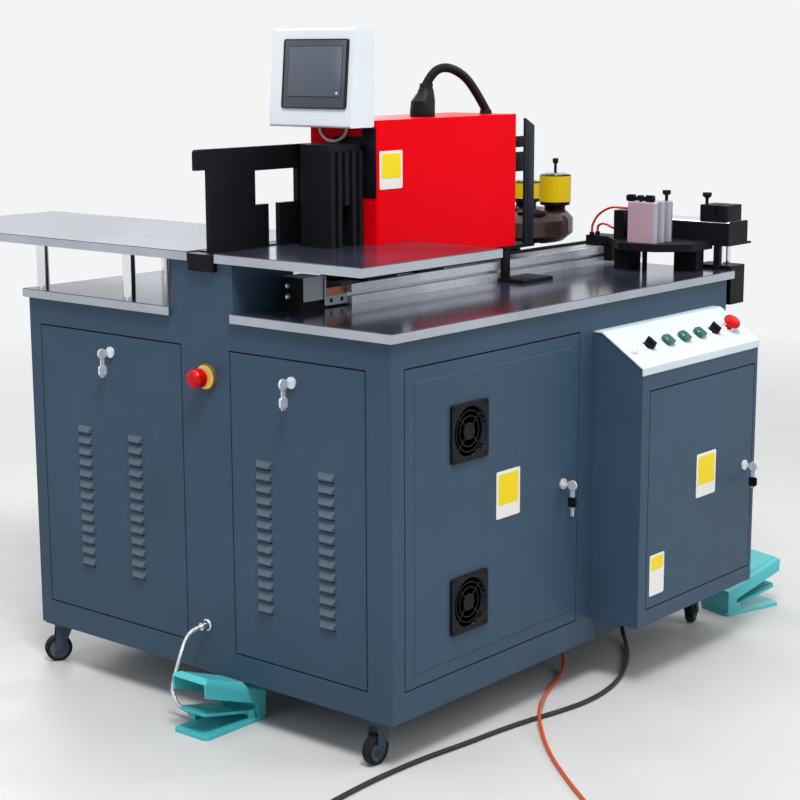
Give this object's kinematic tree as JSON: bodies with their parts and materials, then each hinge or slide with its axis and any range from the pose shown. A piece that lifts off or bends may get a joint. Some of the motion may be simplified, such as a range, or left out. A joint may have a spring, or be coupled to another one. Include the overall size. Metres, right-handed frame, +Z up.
{
  "type": "busbar processing machine",
  "caption": "Busbar processing machine: steel cabinet on casters, turret punch, shear guide, red hood, terminal, control box and foot pedals.",
  "frame": {"origin": "on the floor under the middle of the machine without its floor cords", "axes": "+X along the front towards the cross beam, +Y to the rear, +Z up"},
  "size_m": [1.925, 2.095, 1.44],
  "materials": {
    "body_paint": "satin",
    "table_top": "polished",
    "chrome": "polished",
    "black_steel": "satin",
    "blade_steel": "ground",
    "aluminium": "anodised",
    "red_paint": "gloss",
    "white_paint": "satin",
    "teal_paint": "hammered",
    "treadle_rubber": "ribbed",
    "yellow_plastic": "satin",
    "black_plastic": "satin",
    "green_plastic": "gloss",
    "red_plastic": "gloss",
    "zinc_plate": "zinc plated",
    "machine_green": "satin",
    "hose_metal": "braided",
    "wheel_rubber": "moulded",
    "cable_black": "matt",
    "hose_orange": "gloss",
    "brass": "turned"
  },
  "bodies": {
    "machine": {"cabinet_shell": "body_paint", "cabinet_left": "body_paint", "cabinet_front": "body_paint", "lower_table": "table_top", "upper_table": "table_top", "chrome_posts": "chrome", "shear_frame": "black_steel", "feed_beam": "aluminium", "hood_stand": "black_steel", "hood": "red_paint", "conduit": "black_plastic", "hmi_case": "white_paint", "punch_frame": "black_steel", "cross_beam": "black_steel", "control_box": "body_paint", "panel_lid": "white_paint", "electric_plate": "zinc_plate", "hydraulic_unit": "machine_green", "pedal_left": "teal_paint", "pedal_right": "teal_paint", "hose_gland": "chrome", "foot_hose": "hose_metal", "power_cable": "cable_black", "power_coil": "cable_black", "power_plug": "black_plastic", "air_hose": "hose_orange", "air_coil": "hose_orange", "air_coupling": "brass"},
    "far_door": {"door_far": "body_paint"},
    "near_door": {"door_near": "body_paint"},
    "fan_door": {"door_fan": "body_paint"},
    "box_door": {"door_box": "body_paint"},
    "far_lock": {"lock_far": "chrome"},
    "near_lock": {"lock_near": "chrome"},
    "fan_lock": {"lock_fan": "chrome"},
    "box_lock": {"lock_box": "chrome"},
    "caster_1": {"fork_1": "zinc_plate"},
    "caster_wheel_1": {"wheel_1": "wheel_rubber"},
    "caster_2": {"fork_2": "zinc_plate"},
    "caster_wheel_2": {"wheel_2": "wheel_rubber"},
    "caster_3": {"fork_3": "zinc_plate"},
    "caster_wheel_3": {"wheel_3": "wheel_rubber"},
    "caster_4": {"fork_4": "zinc_plate"},
    "caster_wheel_4": {"wheel_4": "wheel_rubber"},
    "selector_1": {"selector_1": "black_plastic"},
    "selector_2": {"selector_2": "black_plastic"},
    "green_button_1": {"button_green_1": "green_plastic"},
    "green_button_2": {"button_green_2": "green_plastic"},
    "green_button_3": {"button_green_3": "green_plastic"},
    "panel_stop": {"estop_panel": "red_plastic"},
    "end_stop": {"estop_side": "red_plastic"},
    "left_treadle": {"treadle_left": "treadle_rubber"},
    "right_treadle": {"treadle_right": "treadle_rubber"},
    "feed_carriage": {"carriage": "black_steel", "gripper": "aluminium", "air_lines": "red_plastic"},
    "turret": {"turret_disc": "black_steel", "turret_sleeves": "yellow_plastic"},
    "ram": {"punch_ram": "chrome"},
    "blade": {"shear_blade": "blade_steel"}
  },
  "joints": [
    {"name": "far_door_hinge", "type": "hinge", "parent": "machine", "child": "far_door", "pos_m": [-0.67798, 0.131, 0.161], "axis": [0, -1, 0], "range_deg": [0, 90]},
    {"name": "near_door_hinge", "type": "hinge", "parent": "machine", "child": "near_door", "pos_m": [-0.67798, -0.422, 0.161], "axis": [0, -1, 0], "range_deg": [0, 90]},
    {"name": "fan_door_hinge", "type": "hinge", "parent": "machine", "child": "fan_door", "pos_m": [-0.63698, -0.663, 0.477], "axis": [0, 0, -1], "range_deg": [0, 105]},
    {"name": "box_door_hinge", "type": "hinge", "parent": "machine", "child": "box_door", "pos_m": [0.03902, -0.788, 0.43], "axis": [0, 0, -1], "range_deg": [0, 105]},
    {"name": "far_lock_turn", "type": "hinge", "parent": "far_door", "child": "far_lock", "pos_m": [-0.68398, 0.124, 0.756], "axis": [-1, 0, 0], "range_deg": [0, 90]},
    {"name": "near_lock_turn", "type": "hinge", "parent": "near_door", "child": "near_lock", "pos_m": [-0.68398, -0.413, 0.751], "axis": [-1, 0, 0], "range_deg": [0, 90]},
    {"name": "fan_lock_turn", "type": "hinge", "parent": "fan_door", "child": "fan_lock", "pos_m": [-0.11398, -0.669, 0.478], "axis": [0, 1, 0], "range_deg": [0, 90]},
    {"name": "box_lock_turn", "type": "hinge", "parent": "box_door", "child": "box_lock", "pos_m": [0.44902, -0.794, 0.437], "axis": [0, 1, 0], "range_deg": [0, 90]},
    {"name": "caster_1_swivel", "type": "hinge", "parent": "machine", "child": "caster_1", "pos_m": [-0.64998, -0.611, 0.08], "axis": [0, 0, 1], "continuous": true},
    {"name": "caster_1_roll", "type": "hinge", "parent": "caster_1", "child": "caster_wheel_1", "pos_m": [-0.66798, -0.611, 0.031], "axis": [0, -1, 0], "continuous": true},
    {"name": "caster_2_swivel", "type": "hinge", "parent": "machine", "child": "caster_2", "pos_m": [-0.64998, 0.357, 0.08], "axis": [0, 0, 1], "continuous": true},
    {"name": "caster_2_roll", "type": "hinge", "parent": "caster_2", "child": "caster_wheel_2", "pos_m": [-0.66557, 0.366, 0.031], "axis": [-0.5, -0.866, 0], "continuous": true},
    {"name": "caster_3_swivel", "type": "hinge", "parent": "machine", "child": "caster_3", "pos_m": [0.50402, -0.629, 0.08], "axis": [0, 0, 1], "continuous": true},
    {"name": "caster_3_roll", "type": "hinge", "parent": "caster_3", "child": "caster_wheel_3", "pos_m": [0.52094, -0.62284, 0.031], "axis": [-0.342, 0.9397, 0], "continuous": true},
    {"name": "caster_4_swivel", "type": "hinge", "parent": "machine", "child": "caster_4", "pos_m": [0.50402, 0.357, 0.08], "axis": [0, 0, 1], "continuous": true},
    {"name": "caster_4_roll", "type": "hinge", "parent": "caster_4", "child": "caster_wheel_4", "pos_m": [0.51961, 0.348, 0.031], "axis": [0.5, 0.866, 0], "continuous": true},
    {"name": "selector_1_turn", "type": "hinge", "parent": "machine", "child": "selector_1", "pos_m": [0.09502, -0.74718, 0.75936], "axis": [0, -0.5492, 0.8357], "range_deg": [-45, 45]},
    {"name": "selector_2_turn", "type": "hinge", "parent": "machine", "child": "selector_2", "pos_m": [0.37202, -0.74718, 0.75936], "axis": [0, -0.5492, 0.8357], "range_deg": [-45, 45]},
    {"name": "green_button_1_press", "type": "slide", "parent": "machine", "child": "green_button_1", "axis": [0, 0.5492, -0.8357], "range_m": [0, 0.003], "stiffness_N_per_m": 300, "springref_m": -0.004},
    {"name": "green_button_2_press", "type": "slide", "parent": "machine", "child": "green_button_2", "axis": [0, 0.5492, -0.8357], "range_m": [0, 0.003], "stiffness_N_per_m": 300, "springref_m": -0.004},
    {"name": "green_button_3_press", "type": "slide", "parent": "machine", "child": "green_button_3", "axis": [0, 0.5492, -0.8357], "range_m": [0, 0.003], "stiffness_N_per_m": 300, "springref_m": -0.004},
    {"name": "panel_stop_press", "type": "slide", "parent": "machine", "child": "panel_stop", "axis": [0, 0.5492, -0.8357], "range_m": [0, 0.005]},
    {"name": "end_stop_press", "type": "slide", "parent": "machine", "child": "end_stop", "axis": [1, 0, 0], "range_m": [0, 0.005]},
    {"name": "left_treadle_press", "type": "hinge", "parent": "machine", "child": "left_treadle", "pos_m": [-0.66398, -0.219, 0.02], "axis": [0, -1, 0], "range_deg": [0, 7], "stiffness_Nm_per_rad": 40, "springref_deg": -5.73},
    {"name": "right_treadle_press", "type": "hinge", "parent": "machine", "child": "right_treadle", "pos_m": [0.65752, -0.63988, 0.02], "axis": [0.2924, 0.9563, 0], "range_deg": [0, 7], "stiffness_Nm_per_rad": 40, "springref_deg": -5.73},
    {"name": "feed_carriage_slide", "type": "slide", "parent": "machine", "child": "feed_carriage", "axis": [-1, 0, 0], "range_m": [0, 0.15]},
    {"name": "turret_turn", "type": "hinge", "parent": "machine", "child": "turret", "pos_m": [0.40302, -0.119, 0.965], "axis": [0, 0, 1], "continuous": true},
    {"name": "ram_press", "type": "slide", "parent": "machine", "child": "ram", "axis": [0, 0, -1], "range_m": [0, 0.025]},
    {"name": "blade_cut", "type": "slide", "parent": "machine", "child": "blade", "axis": [0, 0, -1], "range_m": [0, 0.088]}
  ]
}
